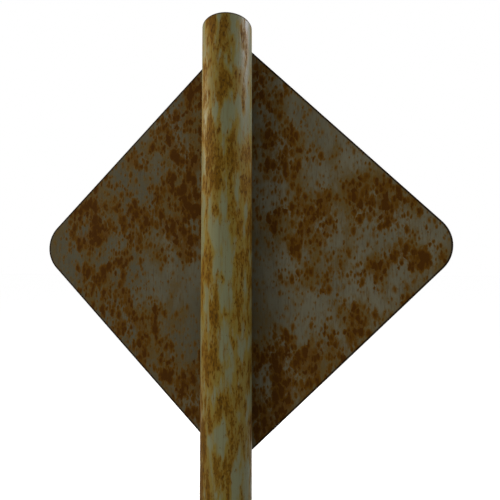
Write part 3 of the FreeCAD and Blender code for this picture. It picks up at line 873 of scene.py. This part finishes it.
agedSteel = {  # bare zinc's colour, rust, spots to a metre, stain, height of the bump
    "dullZincSaddle": (paint(72, 68, 52), 0.6, 190.0, 0.65, 0.0003),
    "dullZincFixing": (paint(118, 114, 98), 0.5, 420.0, 0.5, 0.00015),
    "rustedFoot": (paint(88, 84, 68), 0.95, 85.0, 0.75, 0.0008),
    "rustedWeld": (paint(96, 90, 72), 0.85, 260.0, 0.7, 0.0003),
}
aged = {  # what the four share
    "stain": paint(86, 67, 25),
    "rustRim": paint(82, 54, 10),
    "rustHeart": paint(50, 32, 6),
    "dust": paint(98, 86, 54),
    "specular": 0.12,
    "smallSpots": 2.3,  # how much closer the small spots stand
}


def steelMaterial(name):
    bright, rusting, spots, stain, bump = agedSteel[name]
    material, tree, shader, place = newMaterial(name, aged["specular"])
    grain = noise(tree, place, spots * 3, detail=4.0, seed=5.0)
    cloud = noise(tree, place, spots / 3, detail=6.0, roughness=0.6, seed=1.0)
    cloud = calculate(tree, "ADD", cloud, stain * 0.3 - 0.15)
    field = step(tree, noise(tree, place, spots / 5, detail=5.0, seed=8.0), 0.25, 0.6, rusting)
    frayed = ragged(tree, place, spots * 2, 0.6 / spots)
    large = specks(tree, frayed, spots, field)
    small = specks(tree, frayed, spots * aged["smallSpots"], field)
    rust = calculate(tree, "MAXIMUM", large, small)
    rim = step(tree, rust, -0.2, 0.1)
    upwards = coordinate(tree, addNode(tree, "NewGeometry").outputs["Normal"], "Z")
    layers = [
        ("stain", step(tree, grain, 0.3, 0.75, 0.35)),
        ("stain", step(tree, cloud, 0.4, 0.6)),
        ("rustRim", rim),
        ("rustHeart", step(tree, rust, 0.05, 0.4)),
        ("dust", scaled(tree, step(tree, upwards, 0.6, 1.0, 0.5), step(tree, cloud, 0.42, 0.7))),
    ]
    colour = coats(tree, bright, aged, *layers)
    roughness = scaled(tree, rim, 0.35, 0.45)
    relief = scaled(tree, rim, 0.6, scaled(tree, grain, 0.4))
    dress(tree, shader, colour, roughness, relief, bump)
    return material


rubber = {
    "clean": paint(34, 33, 32),
    "dust": paint(88, 80, 62),
    "crack": paint(16, 15, 14),
    "specular": 0.3,
    "cracks": 700.0,  # to a metre
}


def rubberMaterial():
    look = rubber
    material, tree, shader, place = newMaterial("perishedRubber", look["specular"])
    dust = step(tree, noise(tree, place, 220.0, detail=5.0, seed=1.0), 0.42, 0.72, 0.7)
    sockets = {"Vector": place, "Scale": look["cracks"]}
    cells = addNode(tree, "TexVoronoi", sockets, feature="DISTANCE_TO_EDGE")
    crack = step(tree, cells.outputs["Distance"], 0.08, 0.0)
    colour = coats(tree, look["clean"], look, ("dust", dust), ("crack", crack))
    roughness = scaled(tree, dust, 0.2, 0.7)
    dress(tree, shader, colour, roughness, calculate(tree, "SUBTRACT", dust, crack), 0.00015)
    return material


# Fixings: bolts from the front through a steel washer and a rubber seal, into nuts in the post

bolt = {
    "radius": 0.004,
    "length": 0.025,
    "point": 0.001,
    "acrossFlats": 0.013,
    "headHeight": 0.0053,
    "crownRadius": 0.0062,
    "headChamfer": 30,  # degrees
    "pitch": 0.00125,
    "threadDepth": 0.0006,
    "turnRows": 10,
    "columns": 72,
    "seatEase": 0.0002,  # how far the bearing face stands in from the flats
    "sharpness": 60,  # of the line between the flats and the chamfer
}
washers = {  # piece, slot, radius of the bore, outer radius and squareness of the section
    "flat_washer": ("FlatWasher", "fixing_steel", 0.0045, 0.012, 7),
    "seal_washer": ("RubberSeal", "seal_rubber", 0.0045, 0.014, 3.4),
}


def boltHead(angle, height):
    # Smooth least, (a^-n + b^-n)^(-1/n), of a hexagon, apothem / cos(turn from the nearest flat), and
    # the chamfer's cone, crown radius + depth below the crown / tan(chamfer).
    turn = np.mod(angle, np.pi / 3) - np.pi / 6
    hexagon = bolt["acrossFlats"] / 2 / np.cos(turn)
    slope = math.tan(math.radians(bolt["headChamfer"]))
    cone = bolt["crownRadius"] + (bolt["headHeight"] - height) / slope
    power = bolt["sharpness"]
    return (hexagon**-power + cone**-power) ** (-1 / power)


def boltField():
    # One skin from the middle of the head to the tip: flat crown, head, bearing face, then a thread
    # whose radius is R - depth x |triangle wave of height / pitch - angle / turn|.
    angle = np.linspace(0, 2 * np.pi, bolt["columns"], endpoint=False)
    high = bolt["headHeight"]
    sides = high * np.array([1, 0.97, 0.92, 0.84, 0.74, 0.6, 0.4, 0.2, 0.05])
    heights = [high, high, *sides, 0.0, 0.0]
    crown = boltHead(angle, high)
    radii = [0 * angle, 0.9 * crown, *[boltHead(angle, level) for level in sides]]
    radii += [boltHead(angle, 0.0) - bolt["seatEase"], np.full_like(angle, bolt["radius"])]
    turns = bolt["length"] / bolt["pitch"]
    down = np.linspace(0, bolt["length"], round(turns * bolt["turnRows"]) + 1)[1:]
    wave = np.mod(down[:, None] / bolt["pitch"] + angle / (2 * np.pi), 1)
    groove = bolt["threadDepth"] * (1 - np.abs(2 * wave - 1))
    grown = np.clip(down / bolt["pitch"], 0, 1)[:, None]
    thread = bolt["radius"] - groove * grown
    point = bolt["radius"] - np.clip(down - bolt["length"] + bolt["point"], 0, None)
    thread = np.minimum(thread, point[:, None])
    radius = np.concatenate([np.array(radii), thread, 0 * angle[None]])
    height = np.concatenate([heights, -down, [-bolt["length"]]])[:, None]
    return np.stack([radius * np.cos(angle), radius * np.sin(angle), height + 0 * angle], -1)


def makeFixings():
    zinc = steelMaterial("dullZincFixing")
    saddle = steelMaterial("dullZincSaddle")
    finishes = {"fixing_steel": zinc, "seal_rubber": rubberMaterial()}
    for name, level in fixingLevels.items():
        for kind, (title, slotName, bore, outer, squareness) in washers.items():
            low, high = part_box(f"{name}_{kind}")
            shape = ring(bore, outer, high.y - low.y, squareness, bolt["columns"])
            washer = looped(facingFront(shape, high.y, level))
            standFor(makePiece(name + title, [washer], finishes[slotName]), slotName, f"{name}_{kind}")
        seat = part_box(f"{name}_flat_washer")[0].y
        shank = looped(facingFront(boltField(), seat, level))
        standFor(makePiece(f"{name}HexBolt", [shank], zinc), "fixing_steel", f"{name}_bolt")
        dressNode(f"{name}_rivet_nut", zinc)
        dressNode(f"{name}_saddle", saddle)


makeFixings()


# Foot: square base plate with anchor holes and a vent, four gussets, and ripple-marked fillet welds

base = {
    "cornerRadius": 0.018,
    "edge": 0.001,
    "band": 0.004,
    "anchorReach": 0.095,
    "anchorRadius": 0.009,
    "ventRadius": 0.020,
    "boreEdge": 0.0006,
    "ventPoints": 96,
}
gusset = {
    "snipe": 0.012,
    "toe": 0.010,
    "edge": 0.0007,
    "cornerReach": 0.0012,
    "angles": {"right": 0, "back": 90, "left": 180, "front": 270},
}
weld = {
    "postLeg": 0.006,
    "gussetLeg": 0.004,
    "pitch": 0.0024,
    "ripplePoints": 7,
    "ringPoints": 640,
}


def atHeight(loop, height):
    # A plane loop as points at one height.
    return np.column_stack([loop, np.full(len(loop), height)])


def baseFields():
    # Rounded edge section carried round the square, and four quarters of both flats, each drawn from
    # its anchor hole to the quarter's outline.
    thickness, side, band = baseHigh.z, 2 * baseHigh.x, base["band"]

    def loopAt(inset):
        return roundedSquare(side - 2 * inset, base["cornerRadius"] - inset)

    rim = [(band, 0.0), *roundOver(thickness, base["edge"]).tolist(), (band, thickness)]
    fields = [looped([atHeight(loopAt(inset), height) for inset, height in rim])]
    inner = loopAt(band)
    mouth = base["ventRadius"] + base["boreEdge"]
    spoke = np.linspace(mouth, side / 2 - band, 14)[1:-1]
    zero = np.zeros_like(spoke)
    arc = np.linspace(np.pi / 2, 0, base["ventPoints"] // 4 + 1)
    vent = mouth * np.stack([np.cos(arc), np.sin(arc)], 1)
    quarter = np.concatenate(
        [inner[: len(inner) // 4 + 1], np.stack([zero, spoke[::-1]], 1), vent, np.stack([spoke, zero], 1)]
    )
    centre = np.full(2, base["anchorReach"])
    for turn in (0, 90, 180, 270):
        loop, middle = turned(quarter, turn), turned(centre, turn)
        mouths = towards(middle, base["anchorRadius"] + base["boreEdge"], loop)
        for height in (0.0, thickness):
            fields.append(looped([atHeight(row, height) for row in between(mouths, loop, 8)]))
        fields.append(boreWall(atHeight, loop, middle, base["anchorRadius"], thickness, base["boreEdge"]))
    section = roundOver(thickness, base["boreEdge"]) + (base["ventRadius"], 0)
    fields.append(looped(lathe(section, base["ventPoints"])))
    return fields


def gussetFields(degrees):
    # Rib outline with eased corners, carried across its thickness by a rounded edge section, each
    # flat closed to its middle point; then turned to its side of the post.
    low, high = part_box("gusset_right")
    foot, top, reach = low.z, high.z, high.x
    corners = np.array(
        [
            (low.x, foot + gusset["snipe"]),
            (postRadius + gusset["snipe"], foot),
            (reach, foot),
            (reach, foot + gusset["toe"]),
            (postRadius + gusset["toe"], top),
            (low.x, top),
        ]
    )
    outline = softCorners(corners, gusset["cornerReach"])
    thickness = high.y - low.y
    section = roundOver(thickness, gusset["edge"]).tolist()
    rows = [(drawnIn(outline, inset), depth) for inset, depth in section]
    middle = np.repeat(outline.mean(0)[None], len(outline), 0)
    rows = [(middle, 0.0), *rows, (middle, thickness)]
    field = np.stack([np.insert(loop, 1, low.y + depth, axis=1) for loop, depth in rows])
    return [looped(swung(field, degrees))]


def swung(points, degrees):
    # Points turned about the post's axis.
    flat = turned(points[..., :2].reshape(-1, 2), degrees).reshape(*points.shape[:-1], 2)
    return np.concatenate([flat, points[..., 2:]], -1)


def straightBead(start, end, outwards, upwards):
    # The bead along a straight line, with a whole number of ripples.
    length = np.linalg.norm(np.subtract(end, start))
    count = round(length / weld["pitch"]) * weld["ripplePoints"]
    corners = np.linspace(start, end, count)
    out = np.repeat([np.asarray(outwards, float)], count, 0)
    up = np.repeat([np.asarray(upwards, float) / np.linalg.norm(upwards)], count, 0)
    return bead(corners, out, up, weld["gussetLeg"], weld["pitch"])


def gussetBeads(degrees):
    # Both sides of one gusset, along the base plate and up the post, then turned to its side.
    low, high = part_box("gusset_right")
    fields = []
    for hand in (1, -1):
        side = hand * high.y
        inner = (postRadius + gusset["snipe"], side, low.z)
        fields.append(straightBead(inner, (high.x, side, low.z), (0, hand, 0), (0, 0, 1)))
        far = math.sqrt(postRadius**2 - (high.y + weld["gussetLeg"]) ** 2)  # x of the round tube there
        along = (far - low.x, hand * weld["gussetLeg"], 0)
        seat = (low.x, side, low.z + gusset["snipe"])
        fields.append(straightBead(seat, (low.x, side, high.z), (1, 0, 0), along))
    return [(swung(field, degrees), wrapped, kept) for field, wrapped, kept in fields]


def postBead():
    # The bead round the foot of the tube, along x = R cos angle, y = R sin angle.
    angle = np.linspace(0, 2 * np.pi, weld["ringPoints"] + 1)
    out = np.stack([np.cos(angle), np.sin(angle), 0 * angle], 1)
    corners = postRadius * out + (0, 0, baseHigh.z)
    up = np.repeat([[0.0, 0.0, 1.0]], len(angle), 0)
    return bead(corners, out, up, weld["postLeg"], weld["pitch"], closed=True)


def makeFoot():
    rusted = steelMaterial("rustedFoot")
    ripple = steelMaterial("rustedWeld")
    standFor(makePiece("footPlate", baseFields(), rusted), "base_steel", "base_plate")
    standFor(makePiece("postFillet", [postBead()], ripple, weighted=False), "weld_steel", "post_weld")
    for name, degrees in gusset["angles"].items():
        rib = makePiece(f"{name}Rib", gussetFields(degrees), rusted)
        standFor(rib, "base_steel", f"gusset_{name}")
        fillets = makePiece(f"{name}RibFillets", gussetBeads(degrees), ripple, weighted=False)
        standFor(fillets, "weld_steel", f"gusset_{name}_welds")


makeFoot()


# Camera, lights and floor

studio = {
    "cameraPlace": (-0.1149, 0.5007, 1.8037),
    "cameraAim": (0.15621, -0.98683, 0.04207),  # direction of view
    "lens": 24.545,
    "skyWhite": 1.0,
    "skyLight": 0.2,
    "sunPower": 2.85,
    "sunSpread": 50,  # degrees
    "floorHalf": 60.0,
}


def aim(direction):
    return Vector(direction).to_track_quat("-Z", "Y").to_euler()


def makeCamera():
    lens = bpy.data.cameras.new("camera")
    lens.lens = studio["lens"]
    lens.clip_start = 0.01
    camera = placed("camera", lens)
    camera.location = studio["cameraPlace"]
    camera.rotation_euler = aim(studio["cameraAim"])
    bpy.context.scene.camera = camera


lamps = {  # place, point aimed at, width, height, power and colour
    "keyLeft": ((5.0, 6.0, 4.2), (0, 0, 1.8), 2.2, 2.2, 300.0, (1.0, 0.97, 0.9)),
    "warmLeft": ((0.75, -0.03, 2.3), (0, 0, 1.9), 0.15, 0.3, 10.0, (1.0, 0.8, 0.56)),
    "coolRight": ((-1.0, -0.35, 3.0), (0, 0, 2.1), 0.3, 0.3, 36.0, (0.87, 0.84, 1.0)),
    "softFront": ((0.2, -4.0, 3.2), (0, 0, 1.4), 1.4, 1.4, 95.0, (1.0, 0.98, 0.95)),
}


def makeLamps():
    for name, (place, target, width, height, power, colour) in lamps.items():
        lamp = bpy.data.lights.new(name, "AREA")
        lamp.shape = "RECTANGLE"
        lamp.size = width
        lamp.size_y = height
        lamp.energy = power
        lamp.color = colour
        holder = placed(name, lamp)
        holder.location = place
        holder.rotation_euler = aim(np.subtract(target, place))


def makeSun():
    # Soft light from straight above, for the floor and all that faces up.
    sun = bpy.data.lights.new("softSun", "SUN")
    sun.energy = studio["sunPower"]
    sun.angle = math.radians(studio["sunSpread"])
    placed("softSun", sun)


def makeSky():
    # White to look at, softer as a light.
    world = bpy.data.worlds.new("studioSky")
    world.use_nodes = True
    tree = world.node_tree
    tree.nodes["Background"].inputs["Color"].default_value = (1, 1, 1, 1)
    seen = addNode(tree, "LightPath").outputs["Is Camera Ray"]
    sockets = {"Value": seen, "To Min": studio["skyLight"], "To Max": studio["skyWhite"]}
    strength = addNode(tree, "MapRange", sockets).outputs[0]
    tree.links.new(strength, tree.nodes["Background"].inputs["Strength"])
    bpy.context.scene.world = world
    bpy.context.scene.view_settings.view_transform = "Standard"


def makeFloor():
    half = studio["floorHalf"]
    line = np.linspace(-half, half, 3)
    x, y = np.meshgrid(line, line)
    material, _, shader, _ = newMaterial("paleFloor", 0.0)
    shader.inputs["Base Color"].default_value = (0.9, 0.9, 0.9, 1)
    shader.inputs["Roughness"].default_value = 0.9
    flat = (np.stack([x, y, x * 0], -1), False, None)
    floor = makePiece("floor", [flat], material, weighted=False)


makeCamera()
makeLamps()
makeSun()
makeSky()
makeFloor()
print("stage set")
